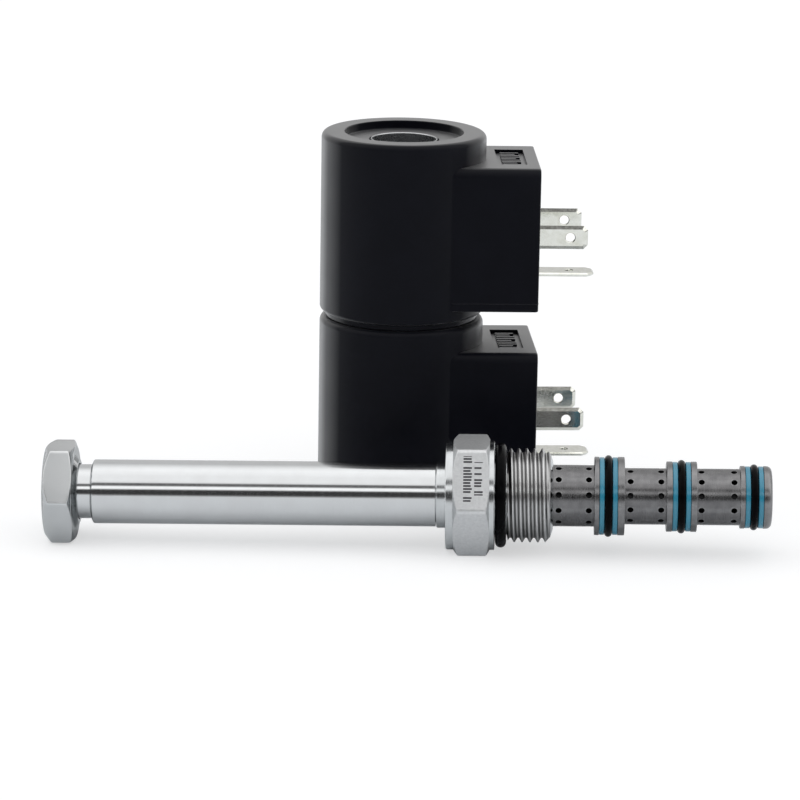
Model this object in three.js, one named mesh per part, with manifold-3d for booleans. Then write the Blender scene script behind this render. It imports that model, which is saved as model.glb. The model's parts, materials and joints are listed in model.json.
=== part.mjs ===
// Four-way, three-position solenoid spool cartridge valve lying in front of its two loose coils.
// Millimetres, +Z up. Every turned piece of the cartridge is drawn along +X: 0 is the seat face of
// the hex body, positive runs to the nose and negative to the coil nut. Every coil piece is drawn
// along +Z from the plane its foot stands on.
import * as THREE from 'three';
import { mergeVertices } from 'three/addons/utils/BufferGeometryUtils.js';
import Module from 'manifold-3d';

const wasm = await Module();
wasm.setup();

// ---- driving dimensions -------------------------------------------------------------------------

const SIDES = 24; // flats on a turned piece
const COIL_SIDES = 36; // flats on a coil's outside
const HIDDEN_SIDES = 18; // flats on a turned piece that is closed in by others
const ROUND_SIDES = 6; // flats on the section of an O-ring
const WELD = 1e-4; // corners closer than this are one corner
const GAP = 0.3; // clearance between fitted pieces that don't move
const RUN = 0.15; // radial clearance of a piece that slides in a bore
const OVER = 1; // how far a cutter reaches past the face it opens

const HEX = {
  flats: 22.225, collar: 11.05, left: -9.8, right: 0, hexLeft: -8.3, hexRight: -0.95,
  slopeLeft: 1.7, slopeRight: 2.5, bossLeft: -11.7, boss: 6.75, spigotLeft: -15, spigot: 5.3,
};
const SEAT_GROOVE = { right: 2.5, radius: 8 };
const SEAT_RELIEF = { radius: 10.75, depth: 0.1 }; // keeps the seal's side off the seat face
const THREAD = {
  major: 9.525, minor: 8.66, pitch: 25.4 / 16, root: 2.14, end: 11.3, chamfer: 1, tip: 8.4, nose: 11.8,
};
const CORE = { rod: 2.2, socket: 6.55, socketLeft: 2.2 };

const TUBE = { radius: 6.5, bore: 5.6, left: -81.4, right: -11.85, chamfer: 0.5 };
const PLUG = { left: -89.9, thread: 4.7, neckLeft: -86.1, neck: 5.5, spigot: 5.3, right: -76 };
const NUT = {
  flats: 19.05, left: -90.9, hexRight: -84.95, rimLeft: 9.1, slopeLeft: 1.3, rimRight: 9.35, slopeRight: 2.2,
  lipTop: 7.5, lipEnd: 6.4, right: -84.2, bore: 5.1, lipBore: 5.75, turn: 2.2,
  groove: 6.8, grooveLeft: -86.25, grooveRight: -85.1,
};
const NUT_SEAL = { centre: -85.67, ring: 6.12, section: 0.5 };

const SLEEVE = {
  left: 2.6, bore: 3.9, right: 55.8, noseRound: 1.2, radiusA: 6.22, radiusB: 5.7, spigotChamfer: 0.5,
};
const LANDS = [
  { name: 'upper', left: 20.1, right: 26.2, radius: 7.93, groove: 22.95 },
  { name: 'middle', left: 34.6, right: 40.75, radius: 7.1, groove: 37.65 },
  { name: 'lower', left: 49.4, right: 55.8, radius: 6.33, groove: 52.25 },
];
const SEAL = {
  width: 3.75, section: 0.78, stands: 0.33, backup: 0.99, side: 0.06, backupDrop: 0.08, depth: 1.48,
};
const HOLES = { rows: [12.93, 19, 27.35, 33.5, 41.6, 48.15], count: 12, radius: 0.6, phase: 16.7, sides: 6 };
const BODY_SEAL = { centre: 1.28, ring: 9.5, section: 1.12 };

const ROD = { left: -74, right: 12.6, radius: 1.3, head: 2.1, headLength: 1.4 };
const OUTER_ARMATURE = { left: -73.6, right: -54 };
const POLE = { left: -52, right: -44 };
const INNER_ARMATURE = { left: -42, right: -17 };
const SPOOL = { left: 10, right: 49.6, land: 3.75, waist: 2.5, slot: 2.4 };
const SPOOL_WAISTS = [[15.2, 17.6], [22, 25.4], [29.4, 32], [37, 40.4], [43.2, 46.6]];
const SPRING = { wire: 0.25, ring: 3.4, steps: 10, sides: 5 };
const HEX_SPRING = { left: 3.3, right: 9.4, turns: 5 };
const NOSE_SPRING = { left: 50.2, right: 53.9, turns: 3 };
const NOSE_RING = { left: 54.2, right: 55.2, radius: 3.75, port: 3.05 };

const COIL = {
  radius: 17.2, height: 39, edge: 1, footIn: 13, footOut: 16, foot: 1.2, recess: 12.4, recessDepth: 1.7,
  lip: 7.3, cavity: 15.2, cavityLow: 3.5, cavityHigh: 35.3,
};
const LINER = { bore: 6.6, radius: 7, low: 1.5, high: 37.5, flare: 0.25 };
const YOKE = { radius: 14.9, wall: 0.9, low: 3.8, high: 35, hole: 7.4 };
const WASHER = { radius: 13.7, low: 3.8, high: 4.7 };
const BOBBIN = { low: 5, high: 33.7, flange: 13.6, flangeThick: 1.2, bore: 7.3, tube: 8.3 };
const WINDING = { inner: 8.6, outer: 13.2 };
const BLOCK = { face: 27.9, half: 14.2, low: 3.7, high: 33.75, edge: 1, inner: 6 };
const MARK_POCKET = { left: 19.3, right: 25.3, half: 8.3, depth: 0.8 };
const CONNECTOR = { height: 18.64, spacing: 18, groundDrop: 9.3, screw: 1.25, screwDepth: 7 };
const POWER_BLADE = { end: 38.2, wide: 4.9, thick: 0.9, hole: 1, holeAt: 34.5, tip: 0.9, root: 4 };
const GROUND_BLADE = { end: 40.2, wide: 6.3, thick: 0.8, hole: 0.85, holeAt: 35.1, tip: 1.4, root: 4 };
const BLADE_GAP = 0.2;

// The coils' axis from the middle of the seat face, and how many degrees each coil is turned.
const STACK = { x: -20.86, y: 40.12, gap: 0.1, turns: [5.05, 3.95] };

// ---- materials ----------------------------------------------------------------------------------

const metal = (color, roughness) => new THREE.MeshStandardMaterial({ color, roughness, metalness: 1 });
const plain = (color, roughness) => new THREE.MeshStandardMaterial({ color, roughness, metalness: 0 });
const MATERIAL = {
  zinc: metal(0xb9bdbf, 0.4),
  nutZinc: metal(0x9da3a5, 0.45),
  polished: metal(0xd0d2d4, 0.12),
  steel: metal(0x77777a, 0.4),
  brightSteel: metal(0xc4c6c8, 0.25),
  copper: metal(0xb8703f, 0.35),
  tin: metal(0xc9cbc0, 0.3),
  rubber: plain(0x101013, 0.55),
  backup: plain(0x2f93b4, 0.45),
  housing: plain(0x15161b, 0.6),
  nylon: plain(0xd8d3c4, 0.6),
};

// ---- shaping tools ------------------------------------------------------------------------------

function signedVolume(position, index) {
  const [a, b, c] = [new THREE.Vector3(), new THREE.Vector3(), new THREE.Vector3()];
  let sum = 0;
  for (let i = 0; i < index.length; i += 3) {
    a.fromBufferAttribute(position, index[i]);
    b.fromBufferAttribute(position, index[i + 1]);
    c.fromBufferAttribute(position, index[i + 2]);
    sum += a.dot(b.cross(c));
  }
  return sum;
}

// One closed skin: shared corners merged, empty triangles dropped, faces pointing out.
function skin(geometry) {
  const bare = geometry.clone();
  bare.deleteAttribute('normal');
  bare.deleteAttribute('uv');
  const merged = mergeVertices(bare, WELD);
  const { array } = merged.index;
  const kept = [];
  for (let i = 0; i < array.length; i += 3) {
    const [a, b, c] = array.slice(i, i + 3);
    if (a !== b && b !== c && c !== a) kept.push(a, b, c);
  }
  if (signedVolume(merged.attributes.position, kept) < 0) kept.reverse();
  merged.setIndex(kept);
  return merged;
}

function solid(geometry) {
  const { attributes, index } = skin(geometry);
  const vertProperties = new Float32Array(attributes.position.array);
  const triVerts = new Uint32Array(index.array);
  return new wasm.Manifold(new wasm.Mesh({ numProp: 3, vertProperties, triVerts }));
}

function shapeOf(manifold) {
  const mesh = manifold.getMesh();
  const geometry = new THREE.BufferGeometry();
  geometry.setAttribute('position', new THREE.BufferAttribute(mesh.vertProperties, 3));
  geometry.setIndex(new THREE.BufferAttribute(mesh.triVerts, 1));
  return geometry;
}

// A profile of [along, radius] points, turned about the local Y axis.
function lathe(profile, sides) {
  return new THREE.LatheGeometry(profile.map(([along, radius]) => new THREE.Vector2(radius, along)), sides);
}

const turnedX = (profile, sides = SIDES) => lathe(profile, sides).rotateZ(-Math.PI / 2);
const turnedZ = (profile, sides = SIDES) => lathe(profile, sides).rotateX(Math.PI / 2);
const loop = (profile) => [...profile, profile[0]];

function sleeveProfile(left, right, inner, outer) {
  return loop([[left, inner], [left, outer], [right, outer], [right, inner]]);
}

// The outline of a round section, for an O-ring.
function roundSection(centre, ring, radius, sides) {
  const points = [];
  for (let i = 0; i < sides; i += 1) {
    const angle = (i / sides) * Math.PI * 2;
    points.push([centre + radius * Math.cos(angle), ring + radius * Math.sin(angle)]);
  }
  return loop(points);
}

// A hexagonal bar along +X with one flat down.
function hexBar(flats, left, right) {
  const corner = flats / Math.sqrt(3);
  const bar = new THREE.CylinderGeometry(corner, corner, right - left, 6);
  return bar.rotateZ(-Math.PI / 2).rotateX(Math.PI / 6).translate((left + right) / 2, 0, 0);
}

// A section of [along, radius] points swept round the X axis, one pitch for each turn.
function helix(section, start, pitch, turns, steps) {
  const count = Math.round(turns * steps);
  const around = section.length;
  const corners = [];
  for (let k = 0; k <= count; k += 1) {
    const angle = (k / steps) * Math.PI * 2;
    const shift = start + (pitch * k) / steps;
    for (const [along, radius] of section) {
      corners.push(shift + along, radius * Math.cos(angle), radius * Math.sin(angle));
    }
  }
  const faces = [];
  for (let k = 0; k < count; k += 1) {
    for (let i = 0; i < around; i += 1) {
      const a = k * around + i;
      const b = k * around + ((i + 1) % around);
      faces.push(a, b, b + around, a, b + around, a + around);
    }
  }
  const last = count * around;
  for (let i = 1; i < around - 1; i += 1) {
    faces.push(0, i + 1, i);
    faces.push(last, last + i, last + i + 1);
  }
  const geometry = new THREE.BufferGeometry();
  geometry.setAttribute('position', new THREE.Float32BufferAttribute(corners, 3));
  geometry.setIndex(faces);
  return skin(geometry);
}

function box(low, high) {
  const size = high.map((value, axis) => value - low[axis]);
  const centre = high.map((value, axis) => (value + low[axis]) / 2);
  return new THREE.BoxGeometry(...size).translate(...centre);
}

function piece(name, geometry, material) {
  const mesh = new THREE.Mesh(skin(geometry), material);
  mesh.name = name;
  return mesh;
}

// ---- cartridge: the parts that stay put ---------------------------------------------------------

// The V-shaped groove of a 60 degree thread, cut from above its crest.
function threadCutter({ major, minor, pitch, root: firstRoot, end }) {
  const root = pitch / 8;
  const above = GAP;
  const spread = root + (major + above - minor) * Math.tan(Math.PI / 6);
  const section = [[-root, minor], [root, minor], [spread, major + above], [-spread, major + above]];
  return helix(section, firstRoot, pitch, (end + pitch - firstRoot) / pitch, SIDES);
}

function hexBody() {
  const { left, right, collar, bossLeft, boss, spigotLeft, spigot, hexLeft, hexRight, flats } = HEX;
  const { major, end, chamfer, tip, nose } = THREAD;
  const profile = loop([
    [spigotLeft, CORE.rod], [spigotLeft, spigot], [bossLeft, spigot], [bossLeft, boss], [left, boss],
    [left, collar], [right, collar], [right, SEAT_RELIEF.radius],
    [right - SEAT_RELIEF.depth, SEAT_RELIEF.radius], [right - SEAT_RELIEF.depth, SEAT_GROOVE.radius],
    [SEAT_GROOVE.right, SEAT_GROOVE.radius],
    [SEAT_GROOVE.right + GAP, major], [end - chamfer, major], [end, tip], [nose, SLEEVE.radiusA + 2 * GAP],
    [nose, CORE.socket], [CORE.socketLeft, CORE.socket], [CORE.socketLeft, CORE.rod],
  ]);
  // Two cones take the corners of the hexagon down to the collars.
  const corner = flats / Math.sqrt(3) + GAP;
  const climb = corner - collar;
  const cones = turnedX(loop([
    [hexLeft, 1], [hexLeft, collar], [hexLeft + climb / HEX.slopeLeft, corner],
    [hexRight - climb / HEX.slopeRight, corner], [hexRight, collar], [hexRight, 1],
  ]));
  const hexagon = solid(hexBar(flats, hexLeft, hexRight)).intersect(solid(cones));
  const rodHole = solid(turnedX([[hexLeft - OVER, 0], [hexLeft - OVER, CORE.rod], [hexRight + OVER, CORE.rod],
    [hexRight + OVER, 0]]));
  const body = solid(turnedX(profile)).add(hexagon).subtract(rodHole);
  return shapeOf(body.subtract(solid(threadCutter(THREAD))));
}

function guideTube() {
  const { left, right, radius, bore, chamfer } = TUBE;
  return turnedX(loop([
    [left, bore], [left, radius - chamfer], [left + chamfer, radius], [right, radius], [right, bore],
  ]));
}

function endPlug() {
  const { left, thread, neckLeft, neck, spigot, right } = PLUG;
  return turnedX([
    [left, 0], [left, thread - GAP], [left + GAP, thread], [neckLeft, thread], [neckLeft, neck],
    [TUBE.left - RUN, neck], [TUBE.left - RUN, spigot], [right, spigot], [right, 0],
  ]);
}

function centrePole() {
  return turnedX(sleeveProfile(POLE.left, POLE.right, ROD.radius + GAP, TUBE.bore - RUN), HIDDEN_SIDES);
}

// The seal grooves and the steps between the port sections, from the spigot to the nose.
function sleeveOutside() {
  const points = [[SLEEVE.left, SLEEVE.radiusA - SLEEVE.spigotChamfer]];
  points.push([SLEEVE.left + SLEEVE.spigotChamfer, SLEEVE.radiusA]);
  let section = SLEEVE.radiusA;
  for (const land of LANDS) {
    const bottom = land.radius - SEAL.depth;
    const from = land.groove - SEAL.width / 2;
    const to = land.groove + SEAL.width / 2;
    points.push([land.left, section], [land.left, land.radius], [from, land.radius], [from, bottom]);
    points.push([to, bottom], [to, land.radius]);
    if (land.right < SLEEVE.right) {
      section = SLEEVE.radiusB;
      points.push([land.right, land.radius], [land.right, section]);
    }
  }
  const nose = LANDS[LANDS.length - 1].radius;
  const round = SLEEVE.noseRound;
  for (const angle of [0, 0.25, 0.5].map((share) => share * Math.PI)) {
    points.push([SLEEVE.right - round + round * Math.sin(angle), nose - round + round * Math.cos(angle)]);
  }
  return points;
}

function portedSleeve() {
  const profile = loop([[SLEEVE.left, SLEEVE.bore], ...sleeveOutside(), [SLEEVE.right, SLEEVE.bore]]);
  const halfFlat = Math.PI / SIDES;
  const phase = THREE.MathUtils.degToRad(HOLES.phase);
  // The flats are turned so that each port is drilled through the middle of one.
  let sleeve = solid(turnedX(profile).rotateX(-halfFlat));
  for (const row of HOLES.rows) {
    for (let i = 0; i < HOLES.count; i += 1) {
      const drill = new THREE.CylinderGeometry(HOLES.radius, HOLES.radius, SLEEVE.radiusA, HOLES.sides);
      drill.rotateX(-Math.PI / 2).translate(row, 0, 0);
      drill.translate(0, -SLEEVE.bore + OVER - SLEEVE.radiusA / 2, 0);
      drill.rotateX((-i / HOLES.count) * Math.PI * 2);
      sleeve = sleeve.subtract(solid(drill));
    }
  }
  return shapeOf(sleeve).rotateX(-phase);
}

function noseRing() {
  return turnedX(sleeveProfile(NOSE_RING.left, NOSE_RING.right, NOSE_RING.port, NOSE_RING.radius));
}

function oRing({ centre, ring, section }) {
  return turnedX(roundSection(centre, ring, section, ROUND_SIDES));
}

// ---- cartridge: the sliding stack and its springs -----------------------------------------------

function armature({ left, right }) {
  return turnedX(sleeveProfile(left, right, ROD.radius + RUN, TUBE.bore - RUN), HIDDEN_SIDES);
}

function pushRod() {
  const { left, right, radius, head, headLength } = ROD;
  return turnedX([[left, 0], [left, radius], [right - headLength, radius], [right - headLength, head],
    [right, head], [right, 0]], HIDDEN_SIDES);
}

// The spool is hollow at the rod end, so the rod's head sits in it under a lip.
function spool() {
  const { left, right, land, waist, slot } = SPOOL;
  const outside = [[left, land]];
  for (const [from, to] of SPOOL_WAISTS) {
    outside.push([from, land], [from, waist + GAP], [to, waist + GAP], [to, land]);
  }
  outside.push([right, land]);
  const lip = ROD.right - ROD.headLength - GAP;
  return turnedX([[left, ROD.radius + GAP], ...outside, [right, 0], [ROD.right + GAP, 0],
    [ROD.right + GAP, slot], [lip, slot], [lip, ROD.radius + GAP], [left, ROD.radius + GAP]], HIDDEN_SIDES);
}

function spring({ left, right, turns }) {
  const { wire, ring, steps, sides } = SPRING;
  const pitch = (right - left - 2 * wire) / turns;
  return helix(roundSection(0, ring, wire, sides).slice(0, -1), left + wire, pitch, turns, steps);
}

// ---- coil nut -----------------------------------------------------------------------------------

function coilNut() {
  const { flats, left, hexRight, rimLeft, slopeLeft, rimRight, slopeRight, lipTop, lipEnd, right } = NUT;
  const { bore, lipBore, groove, grooveLeft, grooveRight, turn } = NUT;
  const reach = flats / Math.sqrt(3) + GAP;
  const outside = turnedX(loop([
    [left, bore], [left, rimLeft], [left + (reach - rimLeft) / slopeLeft, reach],
    [hexRight - (reach - rimRight) / slopeRight, reach], [hexRight, rimRight], [hexRight, lipTop],
    [right, lipEnd], [right, lipBore], [grooveRight, lipBore], [grooveRight, groove],
    [grooveLeft, groove], [grooveLeft, bore],
  ]));
  const bar = hexBar(flats, left - OVER, right + OVER);
  return shapeOf(solid(outside).intersect(solid(bar))).rotateX(-THREE.MathUtils.degToRad(turn));
}

// ---- coil ---------------------------------------------------------------------------------------

// The connector block: a rectangle in Y and Z with rounded edges, pushed out along +X.
function blockSolid() {
  const { face, half, low, high, edge, inner } = BLOCK;
  const outline = new THREE.Shape();
  outline.moveTo(-half + edge, low + edge);
  outline.lineTo(half - edge, low + edge);
  outline.lineTo(half - edge, high - edge);
  outline.lineTo(-half + edge, high - edge);
  outline.closePath();
  const block = new THREE.ExtrudeGeometry(outline, {
    depth: face - inner - 2 * edge, bevelSize: edge, bevelThickness: edge, bevelSegments: 2, curveSegments: 2,
  });
  // Shape X becomes Y, shape Y becomes Z and the push becomes X.
  const turn = new THREE.Matrix4().makeBasis(
    new THREE.Vector3(0, 1, 0), new THREE.Vector3(0, 0, 1), new THREE.Vector3(1, 0, 0),
  );
  return solid(block.applyMatrix4(turn).translate(inner + edge, 0, 0));
}

const bladePlaces = [
  { name: 'power_blade_front', blade: POWER_BLADE, y: -CONNECTOR.spacing / 2, drop: 0, flat: false },
  { name: 'power_blade_rear', blade: POWER_BLADE, y: CONNECTOR.spacing / 2, drop: 0, flat: false },
  { name: 'ground_blade', blade: GROUND_BLADE, y: 0, drop: CONNECTOR.groundDrop, flat: true },
];

function bladePocket({ blade, y, drop, flat }) {
  const z = CONNECTOR.height - drop;
  const wide = blade.wide / 2 + BLADE_GAP;
  const thick = blade.thick / 2 + BLADE_GAP;
  const [dy, dz] = flat ? [wide, thick] : [thick, wide];
  return box([BLOCK.face - blade.root - BLADE_GAP, y - dy, z - dz], [BLOCK.face + OVER, y + dy, z + dz]);
}

function housing() {
  const { radius, height, edge, footIn, footOut, foot, recess, recessDepth, lip, cavity } = COIL;
  const { cavityLow, cavityHigh } = COIL;
  const outside = turnedZ(loop([
    [foot, lip], [foot, footIn], [0, footIn], [0, footOut], [foot, footOut], [foot, radius - edge],
    [foot + edge, radius], [height - edge, radius], [height, radius - edge], [height, recess],
    [height - recessDepth, recess], [height - recessDepth, lip],
  ]), COIL_SIDES);
  const hollow = turnedZ(loop([
    [cavityLow, lip - OVER], [cavityLow, cavity], [cavityHigh, cavity], [cavityHigh, lip - OVER],
  ]), COIL_SIDES);
  const axle = turnedZ([[-OVER, 0], [-OVER, lip], [height + OVER, lip], [height + OVER, 0]], COIL_SIDES);
  const pocket = box(
    [MARK_POCKET.left, -MARK_POCKET.half, BLOCK.high - MARK_POCKET.depth],
    [MARK_POCKET.right, MARK_POCKET.half, BLOCK.high + OVER],
  );
  const screw = new THREE.CylinderGeometry(CONNECTOR.screw, CONNECTOR.screw, CONNECTOR.screwDepth + OVER, 12);
  screw.rotateZ(-Math.PI / 2);
  screw.translate(BLOCK.face + (OVER - CONNECTOR.screwDepth) / 2, 0, CONNECTOR.height);
  const cuts = [hollow, axle, pocket, screw, ...bladePlaces.map(bladePocket)];
  const blank = solid(outside).add(blockSolid());
  return shapeOf(cuts.reduce((left, cut) => left.subtract(solid(cut)), blank));
}

function boreLiner() {
  const { bore, radius, low, high, flare } = LINER;
  return turnedZ(loop([
    [low, bore + flare], [low, radius], [high, radius], [high, bore + flare], [high - flare, bore],
    [low + flare, bore],
  ]));
}

function yokeCan() {
  const { radius, wall, low, high, hole } = YOKE;
  return turnedZ(loop([
    [low, radius - wall], [low, radius], [high, radius], [high, hole], [high - wall, hole],
    [high - wall, radius - wall],
  ]), HIDDEN_SIDES);
}

function bobbin() {
  const { low, high, flange, flangeThick, bore, tube } = BOBBIN;
  return turnedZ(loop([
    [low, bore], [low, flange], [low + flangeThick, flange], [low + flangeThick, tube],
    [high - flangeThick, tube], [high - flangeThick, flange], [high, flange], [high, bore],
  ]), HIDDEN_SIDES);
}

function winding() {
  const low = BOBBIN.low + BOBBIN.flangeThick + GAP;
  const high = BOBBIN.high - BOBBIN.flangeThick - GAP;
  return turnedZ(sleeveProfile(low, high, WINDING.inner, WINDING.outer), HIDDEN_SIDES);
}

function fluxWasher() {
  return turnedZ(sleeveProfile(WASHER.low, WASHER.high, YOKE.hole, WASHER.radius), HIDDEN_SIDES);
}

// A contact blade along +X with a hole and a tapered tip, drawn in its own plane.
function bladeShape({ blade, y, drop, flat }) {
  const { end, wide, thick, hole, holeAt, tip, root } = blade;
  const start = BLOCK.face - root;
  const outline = new THREE.Shape();
  outline.moveTo(start, -wide / 2);
  outline.lineTo(end - tip, -wide / 2);
  outline.lineTo(end, -wide / 2 + tip);
  outline.lineTo(end, wide / 2 - tip);
  outline.lineTo(end - tip, wide / 2);
  outline.lineTo(start, wide / 2);
  outline.closePath();
  outline.holes.push(new THREE.Path().absarc(holeAt, 0, hole, 0, Math.PI * 2, true));
  const plate = new THREE.ExtrudeGeometry(outline, { depth: thick, bevelEnabled: false, curveSegments: 6 });
  plate.translate(0, 0, -thick / 2);
  if (!flat) plate.rotateX(Math.PI / 2);
  return plate.translate(0, y, CONNECTOR.height - drop);
}

function coil(prefix) {
  const group = new THREE.Group();
  group.add(piece(`${prefix}_housing`, housing(), MATERIAL.housing));
  group.add(piece(`${prefix}_bore_liner`, boreLiner(), MATERIAL.brightSteel));
  group.add(piece(`${prefix}_yoke_can`, yokeCan(), MATERIAL.steel));
  group.add(piece(`${prefix}_flux_washer`, fluxWasher(), MATERIAL.steel));
  group.add(piece(`${prefix}_bobbin`, bobbin(), MATERIAL.nylon));
  group.add(piece(`${prefix}_winding`, winding(), MATERIAL.copper));
  for (const place of bladePlaces) {
    group.add(piece(`${prefix}_${place.name}`, bladeShape(place), MATERIAL.tin));
  }
  return group;
}

// ---- assembly -----------------------------------------------------------------------------------

function cartridge() {
  const group = new THREE.Group();
  group.add(piece('hex_body', hexBody(), MATERIAL.zinc));
  group.add(piece('guide_tube', guideTube(), MATERIAL.polished));
  group.add(piece('end_plug', endPlug(), MATERIAL.brightSteel));
  group.add(piece('centre_pole', centrePole(), MATERIAL.steel));
  group.add(piece('body_o_ring', oRing(BODY_SEAL), MATERIAL.rubber));
  group.add(piece('ported_sleeve', portedSleeve(), MATERIAL.steel));
  group.add(piece('nose_ring', noseRing(), MATERIAL.brightSteel));
  for (const { name, radius, groove } of LANDS) {
    const { section } = SEAL;
    const ring = radius + SEAL.stands - section;
    group.add(piece(`${name}_o_ring`, oRing({ centre: groove, ring, section }), MATERIAL.rubber));
    for (const [side, sign] of [['tube', -1], ['nose', 1]]) {
      const centre = groove + sign * (SEAL.width / 2 - SEAL.side - SEAL.backup / 2);
      const inner = radius - SEAL.depth + RUN;
      const outline = sleeveProfile(
        centre - SEAL.backup / 2, centre + SEAL.backup / 2, inner, radius - SEAL.backupDrop,
      );
      group.add(piece(`${name}_backup_ring_${side}_side`, turnedX(outline), MATERIAL.backup));
    }
  }
  group.add(piece('spool', spool(), MATERIAL.brightSteel));
  group.add(piece('push_rod', pushRod(), MATERIAL.brightSteel));
  group.add(piece('outer_armature', armature(OUTER_ARMATURE), MATERIAL.steel));
  group.add(piece('inner_armature', armature(INNER_ARMATURE), MATERIAL.steel));
  group.add(piece('hex_end_spring', spring(HEX_SPRING), MATERIAL.brightSteel));
  group.add(piece('nose_end_spring', spring(NOSE_SPRING), MATERIAL.brightSteel));
  group.add(piece('coil_nut', coilNut(), MATERIAL.nutZinc));
  group.add(piece('nut_o_ring', oRing(NUT_SEAL), MATERIAL.rubber));
  return group;
}

// The cartridge lies on the lower flat of its hexagon and on the lowest corner of the nut, which is
// screwed on a few degrees round from a flat, so its axis climbs slightly towards the nose.
function layDown(group) {
  const nutCorner = NUT.flats / Math.sqrt(3);
  const nutReach = nutCorner * Math.cos(THREE.MathUtils.degToRad(30 - NUT.turn));
  const hexReach = HEX.flats / 2;
  const nutTouch = NUT.left + (nutCorner - NUT.rimLeft) / NUT.slopeLeft;
  const tilt = Math.atan((hexReach - nutReach) / (HEX.hexLeft - nutTouch));
  group.rotation.y = -tilt;
  group.position.z = hexReach * Math.cos(tilt) - HEX.hexLeft * Math.sin(tilt);
  return group;
}

function standUp(group, level) {
  group.rotation.z = THREE.MathUtils.degToRad(STACK.turns[level]);
  group.position.set(STACK.x, STACK.y, level * (COIL.height + STACK.gap));
  return group;
}

const valve = new THREE.Group();
valve.add(layDown(cartridge()));
valve.add(standUp(coil('lower_coil'), 0));
valve.add(standUp(coil('upper_coil'), 1));

// The origin is the middle of the underside of the whole set.
valve.updateMatrixWorld(true);
const bounds = new THREE.Box3().setFromObject(valve, true);
const middle = bounds.getCenter(new THREE.Vector3());
valve.position.set(-middle.x, -middle.y, -bounds.min.z);

export default valve;
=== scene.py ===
"""Looks of the solenoid cartridge valve and its two loose coils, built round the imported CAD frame.

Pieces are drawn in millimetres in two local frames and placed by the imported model: the cartridge
runs along local X, with 0 at the seat face of the hex body and + towards the nose, and each coil
stands along local Z, with 0 at its foot and its plug block towards local +X.
"""
import json
import math

import bmesh
import bpy
from mathutils import Matrix, Vector

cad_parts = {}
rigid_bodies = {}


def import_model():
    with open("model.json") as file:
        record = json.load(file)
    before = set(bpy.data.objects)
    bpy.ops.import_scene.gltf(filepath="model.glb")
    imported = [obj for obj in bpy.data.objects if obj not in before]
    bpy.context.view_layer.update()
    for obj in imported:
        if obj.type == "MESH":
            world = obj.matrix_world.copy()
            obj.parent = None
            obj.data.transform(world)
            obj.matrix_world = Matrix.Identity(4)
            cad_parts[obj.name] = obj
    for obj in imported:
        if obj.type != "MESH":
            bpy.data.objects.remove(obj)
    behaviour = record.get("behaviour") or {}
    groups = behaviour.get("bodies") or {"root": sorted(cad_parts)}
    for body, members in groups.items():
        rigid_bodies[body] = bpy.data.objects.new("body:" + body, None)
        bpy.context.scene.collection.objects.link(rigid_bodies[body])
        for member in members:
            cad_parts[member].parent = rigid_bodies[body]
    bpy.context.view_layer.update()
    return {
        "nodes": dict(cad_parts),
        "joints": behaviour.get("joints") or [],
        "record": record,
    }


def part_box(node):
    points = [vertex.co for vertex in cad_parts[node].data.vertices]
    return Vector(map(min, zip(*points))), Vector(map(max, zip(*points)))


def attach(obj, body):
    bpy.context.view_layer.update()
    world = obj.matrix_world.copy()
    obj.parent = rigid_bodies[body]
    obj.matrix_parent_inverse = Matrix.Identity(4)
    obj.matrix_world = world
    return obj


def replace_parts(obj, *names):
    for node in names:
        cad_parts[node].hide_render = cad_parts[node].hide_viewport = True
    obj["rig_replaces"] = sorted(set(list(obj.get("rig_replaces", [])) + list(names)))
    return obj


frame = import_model()

# ---- driving dimensions, in millimetres unless a name says otherwise ----------------------------

MM = 0.001
TURN = 2 * math.pi
SIDES = 144  # facets round a turned piece
COIL_SIDES = 192  # facets round a coil
ARC_STEPS = 5  # facets across a rounded corner
SHARP_ANGLE = math.radians(38)  # a crease over this angle stays crisp
COINED_ANGLE = math.radians(15)  # the same for the coined blades
WELD = 2e-7  # corners closer than this, in metres, are one corner
ROUND_FACE = 0.995  # a face whose normal is this close to radial belongs to a cylinder

SUBPARTS = {part["node"]: part for part in frame["record"]["subparts"]}
BODY_OF = {node: body for body, nodes in frame["record"]["behaviour"]["bodies"].items() for node in nodes}

NUT_PIVOT = -88.0  # where the nut's hinge sits on the cartridge axis
HEX = {
    "flats": 22.225, "collar": 11.1, "left": -9.8, "right": 0.0, "hex_left": -8.3, "hex_right": -0.95,
    "boss_left": -11.7, "boss": 6.75, "spigot_left": -15.0, "spigot": 5.3, "corner": 1.15, "slope_left": 1.7,
    "slope_right": 2.5, "edge": 0.2, "relief": 10.75, "relief_depth": 0.1, "groove": 8.0, "groove_right": 2.5,
}
THREAD = {
    "major": 9.525, "minor": 8.666, "pitch": 25.4 / 16, "root": 2.14, "run_in": 0.3, "end": 11.3,
    "chamfer": 1.05, "tip": 8.4,
}
CORE = {"rod": 2.2, "socket": 6.55, "socket_left": 2.2, "nose": 11.8, "mouth": 6.82}
NUT = {
    "flats": 19.05, "left": -90.9, "hex_right": -84.95, "corner": 0.5, "rim_left": 9.1, "slope_left": 1.3,
    "rim_right": 9.35, "slope_right": 2.2, "lip_top": 7.5, "lip_end": 6.4, "right": -84.2, "bore": 5.1,
    "lip_bore": 5.75, "groove": 6.8, "groove_left": -86.25, "groove_right": -85.1, "turn": math.radians(2.2),
    "edge": 0.22,
}
PLUG = {"stub": 4.7, "neck_left": -86.1, "spigot": 5.3, "gap": 0.15}
LANDS = (
    {"name": "upper", "left": 20.1, "right": 26.2, "radius": 7.93},
    {"name": "middle", "left": 34.6, "right": 40.75, "radius": 7.1},
    {"name": "lower", "left": 49.4, "right": 55.8, "radius": 6.33},
)
SEAL_GROOVE = {"width": 3.75, "depth": 1.48}
SLEEVE = {"left": 2.6, "bore": 3.9, "body": 6.22, "waist": 5.7, "nose_round": 1.1}
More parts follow.
